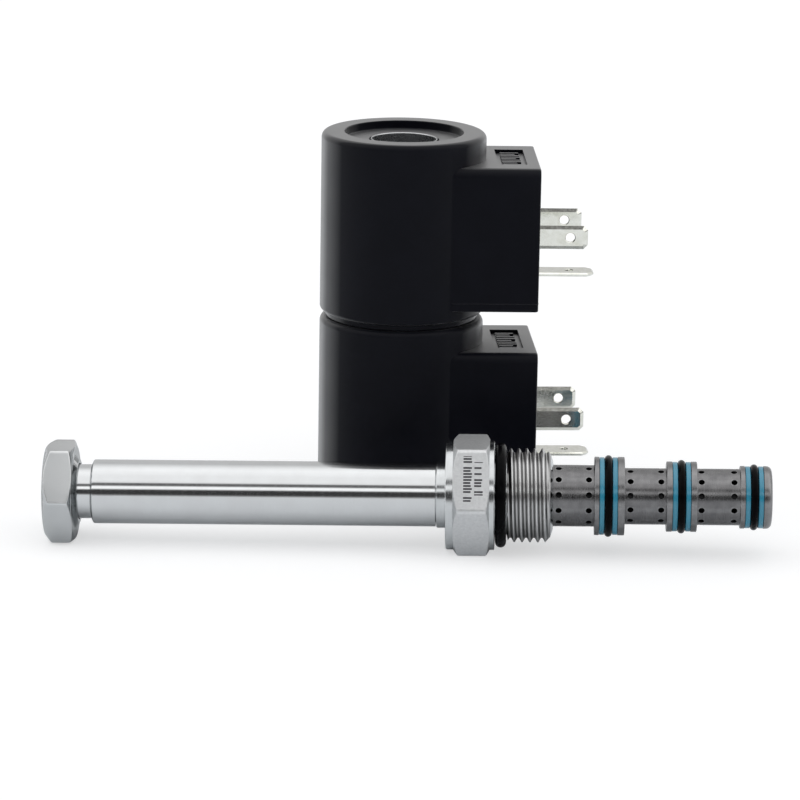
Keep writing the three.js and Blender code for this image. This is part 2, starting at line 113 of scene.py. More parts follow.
PORTS = {"rows": (12.93, 19.0, 27.35, 33.5, 41.6, 48.15), "count": 12, "radius": 0.58, "phase": 16.7}
PORT_FLARE = 0.3  # how much wider a port is where it breaks the surface
PORT_REACH = 0.7  # half the width of the ring of short faces that each row of ports is drilled through
PORT_WALL = 0.6  # a face in a row of ports is a port's wall if its normal is less radial than this
COIL = {
    "radius": 17.2, "height": 39.0, "rim": 1.3, "foot_in": 13.0, "foot_out": 16.0, "foot": 1.2,
    "recess": 12.4, "recess_depth": 1.7, "lip": 7.3, "cavity": 15.2, "cavity_low": 3.5, "cavity_high": 35.3,
}
BLOCK = {
    "face": 27.9, "half": 14.2, "low": 3.7, "high": 33.75, "shoulder": 1.9, "edge": 0.35, "root": 16.2,
    "fillet": 1.4, "parting": 1.8, "flash": 0.07, "corner": 0.45, "overlap": 0.03,
}
POCKET = {"left": 19.3, "right": 25.3, "half": 8.3, "depth": 0.8}
RIBS = {"count": 9, "width": 0.8, "rise": 0.45, "margin": 1.0, "trim": 0.9}  # every third rib is trimmed
PLUG_FACE = {"height": 18.64, "spacing": 18.0, "ground_drop": 9.3, "screw": 1.25, "screw_depth": 7.0}
POWER_BLADE = {
    "end": 38.2, "wide": 4.9, "thick": 0.9, "hole": 1.0, "hole_at": 34.5, "tip": 0.9,
    "bevel": 0.7, "fall": 0.34,
}
GROUND_BLADE = {
    "end": 40.2, "wide": 6.3, "thick": 0.8, "hole": 0.85, "hole_at": 35.1, "tip": 1.4,
    "bevel": 0.35, "fall": 0.27,
}
BLADE_ROOT = 4.0  # how deep a blade sits in the block
BLADE_GAP = 0.2  # the clearance round a blade in its slot

MARKS = {  # "missing" is the share of bars left out, "uneven" how much shorter one may be
    "step": 0.62, "bar": 0.6, "length": 1.75, "missing": 0.2, "uneven": 0.5, "skin": 0.05,
    "columns": ({"left": -6.15, "low": -4.3, "high": 5.1}, {"left": -3.95, "low": -3.0, "high": 3.9}),
}
CAMERA = {
    "heading": 1.95, "right": 0.035, "near": 800.4, "up": 224.78, "pitch": 14.33, "roll": 0.95, "lens": 175.5,
}


# ---- local frames -------------------------------------------------------------------------------

def centre(node):
    low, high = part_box(node)
    return (low + high) / 2


def cartridge_frame():
    turn = next(joint for joint in frame["joints"] if joint["name"] == "nut_turn")
    along = -Vector(turn["axis"]).normalized()
    across = Vector((0, 1, 0))
    origin = Vector(turn["pos_m"]) - along * NUT_PIVOT * MM
    turned = Matrix((along, across, along.cross(across))).transposed().to_4x4()
    return Matrix.Translation(origin) @ turned


def coil_frame(coil):
    side = centre(f"{coil}_power_blade_rear") - centre(f"{coil}_power_blade_front")
    turn = math.atan2(side.y, side.x) - math.pi / 2
    axis = centre(f"{coil}_winding")
    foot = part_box(f"{coil}_housing")[0].z
    return Matrix.Translation((axis.x, axis.y, foot)) @ Matrix.Rotation(turn, 4, "Z")


def spans(node, where, upright=False):
    """Where a turned CAD node starts and ends along its axis, and its inner and outer radius, in mm."""
    back = where.inverted()
    points = [(back @ corner.co) / MM for corner in frame["nodes"][node].data.vertices]
    if upright:
        along = [point.z for point in points]
        radii = [math.hypot(point.x, point.y) for point in points]
    else:
        along = [point.x for point in points]
        radii = [math.hypot(point.y, point.z) for point in points]
    return min(along), max(along), min(radii), max(radii)


# ---- shader helpers -----------------------------------------------------------------------------

def add_node(tree, kind, inputs=None, **settings):
    """One shader node. An input is a value, or another node's socket to link from."""
    item = tree.nodes.new(kind)
    for name, value in settings.items():
        setattr(item, name, value)
    for name, value in (inputs or {}).items():
        if isinstance(value, bpy.types.NodeSocket):
            tree.links.new(value, item.inputs[name])
        else:
            item.inputs[name].default_value = value
    return item


def ramp(tree, factor, stops, mode="LINEAR"):
    """A colour ramp through (place, grey or colour) stops."""
    item = add_node(tree, "ShaderNodeValToRGB", {"Fac": factor})
    item.color_ramp.interpolation = mode
    elements = item.color_ramp.elements
    while len(elements) < len(stops):
        elements.new(0.5)
    for element, (place, colour) in zip(elements, stops):
        element.position = place
        element.color = (*colour, 1) if isinstance(colour, tuple) else (colour, colour, colour, 1)
    return item.outputs["Color"]


def new_material(name):
    material = bpy.data.materials.new(name)
    material.use_nodes = True
    material.node_tree.nodes.clear()
    return material, material.node_tree


def grain(tree, scale, stretch=(1, 1, 1), detail=3.0, rough=0.5):
    """Noise in object space. scale is in grains per millimetre."""
    place = add_node(tree, "ShaderNodeTexCoord").outputs["Object"]
    per_metre = tuple(scale * axis / MM for axis in stretch)
    mapped = add_node(tree, "ShaderNodeMapping", {"Vector": place, "Scale": per_metre})
    settings = {"Vector": mapped.outputs["Vector"], "Scale": 1.0, "Detail": detail, "Roughness": rough}
    return add_node(tree, "ShaderNodeTexNoise", settings).outputs["Fac"]


def mix_colour(tree, factor, first, second, mode="MIX"):
    item = add_node(tree, "ShaderNodeMix", data_type="RGBA", blend_type=mode)
    for socket, value in ((item.inputs[0], factor), (item.inputs[6], first), (item.inputs[7], second)):
        if isinstance(value, bpy.types.NodeSocket):
            tree.links.new(value, socket)
        else:
            socket.default_value = (*value, 1) if isinstance(value, tuple) else value
    return item.outputs[2]


def fit(tree, value, low, high):
    """Stretches a noise value to run from low to high."""
    inputs = {"Value": value, "From Min": 0.3, "From Max": 0.7, "To Min": low, "To Max": high}
    return add_node(tree, "ShaderNodeMapRange", inputs).outputs["Result"]


def calculate(tree, operation, first, second=0.0, third=0.0):
    """One step of arithmetic on values or sockets."""
    return add_node(tree, "ShaderNodeMath", {0: first, 1: second, 2: third}, operation=operation).outputs[0]


def object_place(tree):
    """The X, Y and Z of a shaded point in the piece's own frame, in mm."""
    place = add_node(tree, "ShaderNodeTexCoord").outputs["Object"]
    parts = add_node(tree, "ShaderNodeSeparateXYZ", {0: place}).outputs
    return [calculate(tree, "DIVIDE", part, MM) for part in parts]


def edge_light(tree, strength):
    """1 on outer edges and 0 elsewhere; it lightens them partly as wear and partly as a painted highlight."""
    edge = add_node(tree, "ShaderNodeNewGeometry").outputs["Pointiness"]
    return ramp(tree, edge, ((0.505, 0.0), (0.56, strength)))


def finish_shader(tree, inputs):
    shader = add_node(tree, "ShaderNodeBsdfPrincipled", inputs)
    add_node(tree, "ShaderNodeOutputMaterial", {"Surface": shader.outputs["BSDF"]})
    return shader


# ---- materials ----------------------------------------------------------------------------------

def metal(name, colour, dark, roughness, lay, lay_scale, bump, streak=0.0, wear_and_highlight=0.0, patches=0.25):
    """Metal with machining marks along one direction, cloudy tone and edges lightened partly as wear and
    partly as a painted highlight.

    lay stretches the marks' noise, so a small value on an axis runs the marks along that axis.
    """
    material, tree = new_material(name)
    marks = grain(tree, lay_scale, lay, detail=4.0, rough=0.65)
    clouds = grain(tree, patches, detail=3.0)
    tone = mix_colour(tree, fit(tree, clouds, 0.0, 1.0), dark, colour)
    if streak:
        tone = mix_colour(tree, fit(tree, marks, streak, 0.0), tone, (0.0, 0.0, 0.0))
    # Convex edges are lightened towards near white, partly as wear and partly as a painted highlight.
    if wear_and_highlight:
        tone = mix_colour(tree, edge_light(tree, wear_and_highlight), tone, (0.92, 0.93, 0.94))
    shine = calculate(tree, "ADD", fit(tree, marks, -0.05, 0.05), roughness)
    relief = add_node(tree, "ShaderNodeBump", {"Height": marks, "Strength": bump, "Distance": 0.01 * MM})
    finish_shader(tree, {
        "Base Color": tone, "Metallic": 1.0, "Roughness": shine, "Normal": relief.outputs[0],
    })
    return material


def laser_marks(tree):
    """1 on two columns of plain bars on the hexagon's upper front flat, and 0 elsewhere.

    The bars code nothing: each is there or not, and longer or shorter, by chance.
    """
    x, y, z = object_place(tree)
    cos, sin = math.cos(TURN / 12), math.sin(TURN / 12)
    rise = calculate(tree, "MULTIPLY_ADD", z, sin, calculate(tree, "MULTIPLY", y, -cos))
    along = calculate(tree, "MULTIPLY_ADD", z, cos, calculate(tree, "MULTIPLY", y, sin))
    on_flat = calculate(tree, "GREATER_THAN", rise, HEX["flats"] / 2 - MARKS["skin"])
    total = None
    for column in MARKS["columns"]:
        step = calculate(tree, "DIVIDE", along, MARKS["step"])
        cell = calculate(tree, "ADD", calculate(tree, "FLOOR", step), column["left"])
        draw = add_node(tree, "ShaderNodeTexWhiteNoise", {"W": cell}, noise_dimensions="1D")
        chance = draw.outputs["Value"]
        bar = calculate(tree, "LESS_THAN", calculate(tree, "FRACT", step), MARKS["bar"])
        there = calculate(tree, "GREATER_THAN", chance, MARKS["missing"])
        shortest = column["left"] + MARKS["length"] - MARKS["uneven"]
        end = calculate(tree, "MULTIPLY_ADD", chance, MARKS["uneven"], shortest)
        inside = (
            calculate(tree, "GREATER_THAN", x, column["left"]),
            calculate(tree, "LESS_THAN", x, end),
            calculate(tree, "GREATER_THAN", along, column["low"]),
            calculate(tree, "LESS_THAN", along, column["high"]),
        )
        mask = calculate(tree, "MULTIPLY", bar, there)
        for test in inside:
            mask = calculate(tree, "MULTIPLY", mask, test)
        total = mask if total is None else calculate(tree, "MAXIMUM", total, mask)
    return calculate(tree, "MULTIPLY", total, on_flat)


def hexagon_flats():
    """Milled and zinc plated: a coarse matt surface that still carries some gloss, with the laser's bars."""
    material, tree = new_material("milled_zinc")
    coarse = grain(tree, 1.6, detail=5.0, rough=0.7)
    lay = grain(tree, 4.0, (0.15, 1, 1), detail=3.0)
    tone = mix_colour(tree, fit(tree, coarse, 0.0, 1.0), (0.44, 0.455, 0.465), (0.64, 0.655, 0.665))
    # Edges lightened towards near white, partly as wear and partly as a painted highlight.
    tone = mix_colour(tree, edge_light(tree, 0.6), tone, (0.95, 0.95, 0.96))
    tone = mix_colour(tree, calculate(tree, "MULTIPLY", laser_marks(tree), 0.95), tone, (0.02, 0.02, 0.024))
    both = calculate(tree, "ADD", coarse, lay)
    relief = add_node(tree, "ShaderNodeBump", {"Height": both, "Strength": 0.55, "Distance": 0.02 * MM})
    finish_shader(tree, {
        "Base Color": tone, "Metallic": 0.7, "Roughness": fit(tree, coarse, 0.34, 0.48),
        "Normal": relief.outputs[0],
    })
    return material


def rolled_thread():
    """Base colour set by depth: painted highlights on the crests and in the roots, with painted shade on the
    flanks between them.
    """
    material, tree = new_material("rolled_thread")
    _, y, z = object_place(tree)
    squares = calculate(tree, "ADD", calculate(tree, "MULTIPLY", y, y), calculate(tree, "MULTIPLY", z, z))
    radius = calculate(tree, "SQRT", squares)
    depth = add_node(tree, "ShaderNodeMapRange", {
        "Value": radius, "From Min": THREAD["minor"] - 0.05, "From Max": THREAD["major"] - 0.3,
    }).outputs["Result"]
    # The depth ramp paints the thread's light and shade: bright crests, lighter roots, dark flanks.
    tone = ramp(tree, depth, ((0.0, 0.5), (0.12, 0.45), (0.25, 0.2), (0.75, 0.22), (0.95, 0.62), (1.0, 0.74)))
    fine = grain(tree, 5.0, RINGS, detail=3.0)
    relief = add_node(tree, "ShaderNodeBump", {"Height": fine, "Strength": 0.25, "Distance": 0.01 * MM})
    finish_shader(tree, {
        "Base Color": tone, "Metallic": 1.0, "Roughness": 0.28, "Normal": relief.outputs[0],
    })
    return material


def satin_zinc():
    """The coil nut: greyer, smoother plating, with corners lightened partly as rubbed wear and partly as a
    painted highlight.
    """
    material, tree = new_material("satin_zinc")
    cloudy = grain(tree, 0.5, detail=4.0)
    fine = grain(tree, 6.0, detail=3.0)
    tone = mix_colour(tree, fit(tree, cloudy, 0.0, 1.0), (0.268, 0.284, 0.29), (0.318, 0.338, 0.345))
    # Painted highlight on the corners, partly rubbed wear.
    tone = mix_colour(tree, edge_light(tree, 0.9), tone, (0.97, 0.98, 0.99))
    relief = add_node(tree, "ShaderNodeBump", {"Height": fine, "Strength": 0.2, "Distance": 0.01 * MM})
    finish_shader(tree, {
        "Base Color": tone, "Metallic": 0.95, "Roughness": fit(tree, cloudy, 0.2, 0.26),
        "Normal": relief.outputs[0],
    })
    return material


def rubber():
    material, tree = new_material("nitrile_rubber")
    fine = grain(tree, 6.0, detail=4.0)
    film = grain(tree, 0.6, detail=3.0)
    tone = mix_colour(tree, fit(tree, film, 0.0, 1.0), (0.0015, 0.0014, 0.0018), (0.003, 0.0028, 0.0035))
    relief = add_node(tree, "ShaderNodeBump", {"Height": fine, "Strength": 0.12, "Distance": 0.02 * MM})
    slant = add_node(tree, "ShaderNodeLayerWeight", {"Blend": 0.5}).outputs["Facing"]
    gloss = ramp(tree, slant, ((0.0, 0.03), (0.4, 0.05), (0.8, 0.14), (1.0, 0.5)))
    finish_shader(tree, {
        "Base Color": tone, "Roughness": fit(tree, film, 0.2, 0.3), "Normal": relief.outputs[0],
        "Specular IOR Level": gloss,
    })
    return material


def backup_plastic():
    material, tree = new_material("blue_backup_plastic")
    fine = grain(tree, 5.0, (3, 1, 1), detail=3.0)
    tone = mix_colour(tree, fit(tree, fine, 0.0, 1.0), (0.004, 0.2, 0.32), (0.014, 0.29, 0.44))
    relief = add_node(tree, "ShaderNodeBump", {"Height": fine, "Strength": 0.12, "Distance": 0.02 * MM})
    finish_shader(tree, {
        "Base Color": tone, "Roughness": 0.28, "Normal": relief.outputs[0], "Specular IOR Level": 0.8,
        "Coat Weight": 0.5, "Coat Roughness": 0.1,
    })
    return material


def moulded_plastic():
    """Black satin moulding with a spark-eroded grain, faint handling marks and edges lightened partly as wear
    and partly as a painted highlight.
    """
    material, tree = new_material("coil_plastic")
    fine = grain(tree, 5.5, detail=5.0, rough=0.6)
    hazy = grain(tree, 0.12, detail=4.0)
    scuffs = grain(tree, 0.8, (1, 1, 0.25), detail=6.0, rough=0.75)
    tone = mix_colour(tree, fit(tree, hazy, 0.0, 1.0), (0.0016, 0.0019, 0.0048), (0.0034, 0.0038, 0.0076))
    scuffed = ramp(tree, scuffs, ((0.68, 0.0), (0.8, 0.2)))
    tone = mix_colour(tree, scuffed, tone, (0.022, 0.023, 0.026))
    # Edges lightened partly as wear and partly as a painted highlight.
    tone = mix_colour(tree, edge_light(tree, 0.3), tone, (0.03, 0.031, 0.035))
    slant = add_node(tree, "ShaderNodeLayerWeight", {"Blend": 0.5}).outputs["Facing"]
    gloss = ramp(tree, slant, ((0.0, 0.05), (0.35, 0.06), (0.7, 0.8), (1.0, 1.0)))
    film = ramp(tree, slant, ((0.6, 0.0), (0.76, 1.0)))
    relief = add_node(tree, "ShaderNodeBump", {"Height": fine, "Strength": 0.3, "Distance": 0.03 * MM})
    finish_shader(tree, {
        "Base Color": tone, "Roughness": fit(tree, hazy, 0.4, 0.48), "Normal": relief.outputs[0],
        "IOR": 1.8, "Specular IOR Level": gloss, "Coat Weight": film, "Coat Roughness": 0.4, "Coat IOR": 1.8,
    })
    return material


def nylon():
    material, tree = new_material("bobbin_nylon")
    fine = grain(tree, 3.0, detail=3.0)
    tone = mix_colour(tree, fine, (0.62, 0.58, 0.47), (0.72, 0.68, 0.57))
    finish_shader(tree, {"Base Color": tone, "Roughness": 0.5, "Subsurface Weight": 0.1})
    return material


def copper():
    """Enamelled wire: fine turns along the coil's axis."""
    material, tree = new_material("enamelled_copper")
    place = add_node(tree, "ShaderNodeTexCoord").outputs["Object"]
    turns = add_node(
        tree, "ShaderNodeTexWave", {"Vector": place, "Scale": 1.6 / MM, "Distortion": 0.2},
        bands_direction="Z", wave_profile="SIN",
    ).outputs["Fac"]
    tone = mix_colour(tree, turns, (0.28, 0.09, 0.03), (0.6, 0.26, 0.1))
    relief = add_node(tree, "ShaderNodeBump", {"Height": turns, "Strength": 0.6, "Distance": 0.08 * MM})
    finish_shader(tree, {
        "Base Color": tone, "Metallic": 0.9, "Roughness": 0.3, "Normal": relief.outputs[0],
        "Coat Weight": 0.4,
    })
    return material


RINGS = (1.0, 0.06, 0.06)  # marks that run round a piece turned about X
RINGS_Z = (0.06, 0.06, 1.0)
CLOUDY = (1.0, 1.0, 1.0)
HEX_FLATS = hexagon_flats()
ROLLED_THREAD = rolled_thread()
# A near-black steel that paints the shade inside the drilled ports and on the spool seen through them.
PAINTED_BORE_SHADE = metal("painted_bore_shade", (0.05, 0.05, 0.052), (0.03, 0.03, 0.032), 0.4, CLOUDY, 5.0, 0.3)
MATERIALS = {
    "zinc_steel": metal("bright_zinc", (0.7, 0.72, 0.73), (0.6, 0.62, 0.63), 0.17, RINGS, 6.0, 0.35,
                        streak=0.06, wear_and_highlight=0.35),
    "nut_zinc": satin_zinc(),
    "polished_steel": metal("polished_tube", (0.72, 0.735, 0.745), (0.69, 0.7, 0.71), 0.11, RINGS, 7.0, 0.12,
                            streak=0.03),
    "sleeve_steel": metal("hardened_sleeve", (0.235, 0.232, 0.236), (0.17, 0.168, 0.173), 0.25, RINGS, 5.0,
                          0.4, streak=0.12, wear_and_highlight=0.3, patches=0.6),
    "bright_steel": metal("ground_steel", (0.66, 0.67, 0.68), (0.6, 0.61, 0.62), 0.24, RINGS_Z, 6.0, 0.3,
                          streak=0.05),
    "magnet_steel": metal("machined_iron", (0.42, 0.42, 0.42), (0.35, 0.35, 0.35), 0.38, RINGS, 5.0, 0.4,
                          streak=0.1),
    "tinned_brass": metal("tin_plate", (0.92, 0.92, 0.84), (0.76, 0.76, 0.66), 0.14, CLOUDY, 2.2, 0.3,
                          wear_and_highlight=0.25, patches=0.9),
    "copper": copper(),
    "nitrile": rubber(),
    "backup_plastic": backup_plastic(),
    "coil_plastic": moulded_plastic(),
    "bobbin_nylon": nylon(),
}


# ---- mesh helpers -------------------------------------------------------------------------------

def rounded(corners, steps=ARC_STEPS):
    """The closed outline of (along, radius, rounding) corners, each rounded to an arc of its rounding."""
    outline = []
    for index, (along, radius, rounding) in enumerate(corners):
        here = Vector((along, radius))
        before = Vector(corners[index - 1][:2]) - here
        after = Vector(corners[(index + 1) % len(corners)][:2]) - here
        if not rounding:
            outline.append((along, radius))
            continue
        before.normalize()
        after.normalize()
        half = before.angle(after) / 2
        middle = here + (before + after).normalized() * rounding / math.sin(half)
        start = here + before * rounding / math.tan(half) - middle
        end = here + after * rounding / math.tan(half) - middle
        sweep = math.atan2(start.x * end.y - start.y * end.x, start.dot(end))
        for step in range(steps + 1):
            angle = sweep * step / steps
            cos, sin = math.cos(angle), math.sin(angle)
            turned_start = Vector((start.x * cos - start.y * sin, start.x * sin + start.y * cos))
            outline.append((middle.x + turned_start.x, middle.y + turned_start.y))
    return outline


def round_section(along, ring, radius, steps=32):
    angles = [TURN * step / steps for step in range(steps)]
    return [(along + radius * math.cos(angle), ring + radius * math.sin(angle)) for angle in angles]


def grid_mesh(name, rows, closed_rows=True, closed_columns=True):
    """A skin over rows of points in mm. Each row is joined to the next, and corners that meet are welded."""
    bm = bmesh.new()
    corners = [[bm.verts.new(Vector(point) * MM) for point in row] for row in rows]
    row_count = len(rows) if closed_rows else len(rows) - 1
    column_count = len(rows[0]) if closed_columns else len(rows[0]) - 1
    for i in range(row_count):
        this, following = corners[i], corners[(i + 1) % len(rows)]
        for j in range(column_count):
            k = (j + 1) % len(this)
            bm.faces.new((this[j], this[k], following[k], following[j]))
    return weld(bm, name)


def weld(bm, name):
    bmesh.ops.remove_doubles(bm, verts=bm.verts, dist=WELD)
    bmesh.ops.dissolve_degenerate(bm, edges=bm.edges, dist=WELD)
    bmesh.ops.recalc_face_normals(bm, faces=bm.faces)
    mesh = bpy.data.meshes.new(name)
    bm.to_mesh(mesh)
    bm.free()
    return mesh


def turned(name, outline, sides=SIDES, upright=False):
    """A closed outline of (along, radius) points turned about local X, or about local Z if upright."""
    rows = []
    for along, radius in outline:
        angles = [TURN * side / sides for side in range(sides)]
        if upright:
            rows.append([(radius * math.cos(angle), radius * math.sin(angle), along) for angle in angles])
        else:
            rows.append([(along, radius * math.cos(angle), radius * math.sin(angle)) for angle in angles])
    return grid_mesh(name, rows)


def merged(meshes, name):
    """Several meshes as one."""
    bm = bmesh.new()
    for mesh in meshes:
        bm.from_mesh(mesh)
    joined = bpy.data.meshes.new(name)
    bm.to_mesh(joined)
    bm.free()
    return joined


def loose_object(mesh):
    obj = bpy.data.objects.new(mesh.name, mesh)
    bpy.context.scene.collection.objects.link(obj)
    return obj


def combined(mesh, steps):
    """The mesh after exact joins and cuts, given as (operation, other mesh) pairs."""
    base = loose_object(mesh)
    tools = []
    for operation, other in steps:
        tool = loose_object(other)
        tools.append(tool)
        cut = base.modifiers.new(operation, "BOOLEAN")
        cut.operation = operation
        cut.solver = "EXACT"
        cut.object = tool
    bpy.context.view_layer.update()
    result = bpy.data.meshes.new_from_object(base.evaluated_get(bpy.context.evaluated_depsgraph_get()))
    result.name = mesh.name
    for obj in (base, *tools):
        bpy.data.objects.remove(obj)
    return result


def stacked(name, slices):
    """A closed solid over level slices. A slice is (z, outline), and all outlines have as many points."""
    bm = bmesh.new()
    corners = [[bm.verts.new(Vector((x, y, z)) * MM) for x, y in outline] for z, outline in slices]
    for this, following in zip(corners, corners[1:]):
        for j in range(len(this)):
            k = (j + 1) % len(this)
            bm.faces.new((this[j], this[k], following[k], following[j]))
    bm.faces.new(corners[0])
    bm.faces.new(corners[-1])
    return weld(bm, name)


def rectangle(x_low, x_high, y_low, y_high):
    return [(x_low, y_low), (x_high, y_low), (x_high, y_high), (x_low, y_high)]


def box(name, x, y, z, edge=0.0):
    """A box from three (low, high) spans, with its top edges bevelled."""
    flat = rectangle(*x, *y)
    inner = rectangle(x[0] + edge, x[1] - edge, y[0] + edge, y[1] - edge)
    return stacked(name, [(z[0], flat), (z[1] - edge, flat), (z[1], inner)])


def show(node, mesh, where, zones=(), even=True, crease=SHARP_ANGLE):
    """Puts a fine mesh in place of its CAD node, on the same body and in the record's material slot.

    A zone is a stretch along local X, in mm, with a finish of its own.
    """
    piece = bpy.data.objects.new(f"{node}_fine", mesh)
    bpy.context.scene.collection.objects.link(piece)
    piece.matrix_world = where
    slot = SUBPARTS[node]["material_slot"]
    mesh.materials.clear()
    mesh.materials.append(MATERIALS[slot])
    for index, (low, high, finish) in enumerate(zones):
        mesh.materials.append(finish)
        for face in mesh.polygons:
            if low * MM < face.center.x < high * MM:
                face.material_index = index + 1
    mesh.shade_smooth()
    mesh.set_sharp_from_angle(angle=crease)
    if even:
        smooth = piece.modifiers.new("even_normals", "WEIGHTED_NORMAL")
        smooth.keep_sharp = True
    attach(piece, BODY_OF[node])
    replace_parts(piece, node)
    return piece


# ---- hexagons -----------------------------------------------------------------------------------

def hexagon_radius(flats, corner, angle):
    """How far a hexagon with rounded corners reaches at an angle. A corner is at angle 0."""
    off_corner = (angle + TURN / 12) % (TURN / 6) - TURN / 12
    off_flat = TURN / 12 - abs(off_corner)
    half = flats / 2
    middle = (half - corner) / math.cos(TURN / 12)
    end = math.atan2(corner * math.sin(TURN / 12), middle + corner * math.cos(TURN / 12))
    if abs(off_corner) >= end:
        return half / math.cos(off_flat)
    side = middle * math.sin(off_corner)
    return middle * math.cos(off_corner) + math.sqrt(corner * corner - side * side)


def hexagon_angles(flats, corner, phase):
    """Even steps round the circle, with extra ones across each rounded corner."""
    middle = (flats / 2 - corner) / math.cos(TURN / 12)
    end = math.atan2(corner * math.sin(TURN / 12), middle + corner * math.cos(TURN / 12))
    angles = {round(phase + TURN * step / SIDES, 6) for step in range(SIDES)}
    for side in range(6):
        for share in (-1, -0.6, -0.2, 0.2, 0.6, 1):
            angles.add(round(phase + TURN * side / 6 + end * share, 6))
    return sorted(angles)


def chamfer_rows(flats, corner, phase, start, start_radius, slope, edge, direction):
    """Three rows, as functions of the angle, that break the edge between a hexagon and a cone.

    The cone leaves (start, start_radius) and climbs by slope for each mm along direction.
    """
    def crossing(angle, shift):
        reach = hexagon_radius(flats, corner, angle - phase)
        run = max(reach - start_radius, 0.0) / slope
        bite = min(edge, 0.45 * run)  # the broken edge stays on a short run
        along, radius = start + direction * run, start_radius + slope * run
        on_cone = (along - direction * bite, radius - slope * bite)
        on_flat = (along + direction * bite, radius)
        if shift < 0:
            return on_cone
        if shift > 0:
            return on_flat
        return ((on_cone[0] + 2 * along + on_flat[0]) / 4, (on_cone[1] + 2 * radius + on_flat[1]) / 4)
    order = (-1, 0, 1) if direction > 0 else (1, 0, -1)
    return [lambda angle, shift=shift: crossing(angle, shift) for shift in order]


def turned_by_angle(name, rows, angles):
    """Rows are (along, radius) points or functions of the angle, turned about local X through all angles."""
    placed = []
    for row in rows:
        line = []
        for angle in angles:
            along, radius = row(angle) if callable(row) else row
            line.append((along, radius * math.cos(angle), radius * math.sin(angle)))
        placed.append(line)
    return grid_mesh(name, placed, closed_columns=False)


# ---- cartridge ----------------------------------------------------------------------------------

def thread_rows():
    """Rows that follow the thread's helix, held inside the chamfers at its two ends."""
    pitch, major, minor = THREAD["pitch"], THREAD["major"], THREAD["minor"]
    start, end, first = HEX["groove_right"], THREAD["end"], THREAD["root"]
    depth = major - minor
    root, flank = pitch / 8, depth * math.tan(TURN / 12)
    section = (
        (-root, 0.0), (-root * 0.55, -0.05), (root * 0.55, -0.05), (root, 0.0),
        (root + flank * 0.3, depth * 0.3), (root + flank * 0.65, depth * 0.65),
        (root + flank * 0.93, depth * 0.93), (root + flank * 1.08, depth),
        (pitch - root - flank * 1.08, depth), (pitch - root - flank * 0.93, depth * 0.93),
        (pitch - root - flank * 0.65, depth * 0.65), (pitch - root - flank * 0.3, depth * 0.3),
    )

    def height(offset):
        place = (offset + root) % pitch - root
        for (from_at, from_rise), (to_at, to_rise) in zip(section, (*section[1:], (pitch - root, 0.0))):
            if from_at <= place <= to_at:
                return minor + from_rise + (to_rise - from_rise) * (place - from_at) / (to_at - from_at)
        return minor

    def envelope(along):
        left = HEX["groove"] + (along - start) * (major - HEX["groove"]) / THREAD["run_in"]
        right = THREAD["tip"] + (end - along) * (major - THREAD["tip"]) / THREAD["chamfer"]
        return min(left, right)

    rows = []
    for turn in range(-1, math.ceil((end - first) / pitch) + 1):
        for offset, _ in section:
            def row(angle, turn=turn, offset=offset):
                place = first + pitch * (turn + angle / TURN) + offset
                along = min(max(place, start), end)
                phase = along - first - pitch * angle / TURN
                return along, min(height(phase), envelope(along))
            rows.append(row)
    return rows


def hex_body(where):
    h = HEX
    shape = (h["flats"], h["corner"], 0)
    left = chamfer_rows(*shape, h["hex_left"], h["collar"], h["slope_left"], h["edge"], 1)
    right = chamfer_rows(*shape, h["hex_right"], h["collar"], h["slope_right"], h["edge"], -1)
    collar_left = rounded([
        (h["spigot_left"], CORE["rod"], 0), (h["spigot_left"], h["spigot"], 0.2),
        (h["boss_left"], h["spigot"], 0), (h["boss_left"], h["boss"], 0.2), (h["left"], h["boss"], 0.25),
        (h["left"], h["collar"], 0.3),
        (h["hex_left"], h["collar"], 0),
    ])
    collar_right = rounded([
        (h["hex_right"], h["collar"], 0), (h["right"], h["collar"], 0.14), (h["right"], h["relief"], 0),
        (h["right"] - h["relief_depth"], h["relief"], 0), (h["right"] - h["relief_depth"], h["groove"], 0),
        (h["groove_right"], h["groove"], 0),
    ])
    mouth = rounded([
        (THREAD["end"], THREAD["tip"], 0), (CORE["nose"], CORE["mouth"], 0.08),
        (CORE["nose"], CORE["socket"], 0), (CORE["socket_left"], CORE["socket"], 0),
        (CORE["socket_left"], CORE["rod"], 0),
    ])
    rows = [*collar_left, *left, *right, *collar_right, *thread_rows(), *mouth]
    angles = hexagon_angles(h["flats"], h["corner"], 0)
    zones = ((h["hex_left"], h["hex_right"], HEX_FLATS), (h["groove_right"], THREAD["end"], ROLLED_THREAD))
    show("hex_body", turned_by_angle("hex_body", rows, [*angles, angles[0] + TURN]), where, zones)


def coil_nut(where):
    n = NUT
    shape = (n["flats"], n["corner"], -n["turn"])
    left = chamfer_rows(*shape, n["left"], n["rim_left"], n["slope_left"], n["edge"], 1)
    right = chamfer_rows(*shape, n["hex_right"], n["rim_right"], n["slope_right"], n["edge"], -1)
    inside = rounded([
        (n["hex_right"], n["rim_right"], 0.12), (n["hex_right"], n["lip_top"], 0.12),
        (n["right"], n["lip_end"], 0.15), (n["right"], n["lip_bore"], 0.08),
        (n["groove_right"], n["lip_bore"], 0), (n["groove_right"], n["groove"], 0),
        (n["groove_left"], n["groove"], 0), (n["groove_left"], n["bore"], 0),
        (n["left"], n["bore"], 0.3), (n["left"], n["rim_left"], 0),
    ])
    angles = hexagon_angles(n["flats"], n["corner"], -n["turn"])
    rows = [*left, *right, *inside]
    show("coil_nut", turned_by_angle("coil_nut", rows, [*angles, angles[0] + TURN]), where)


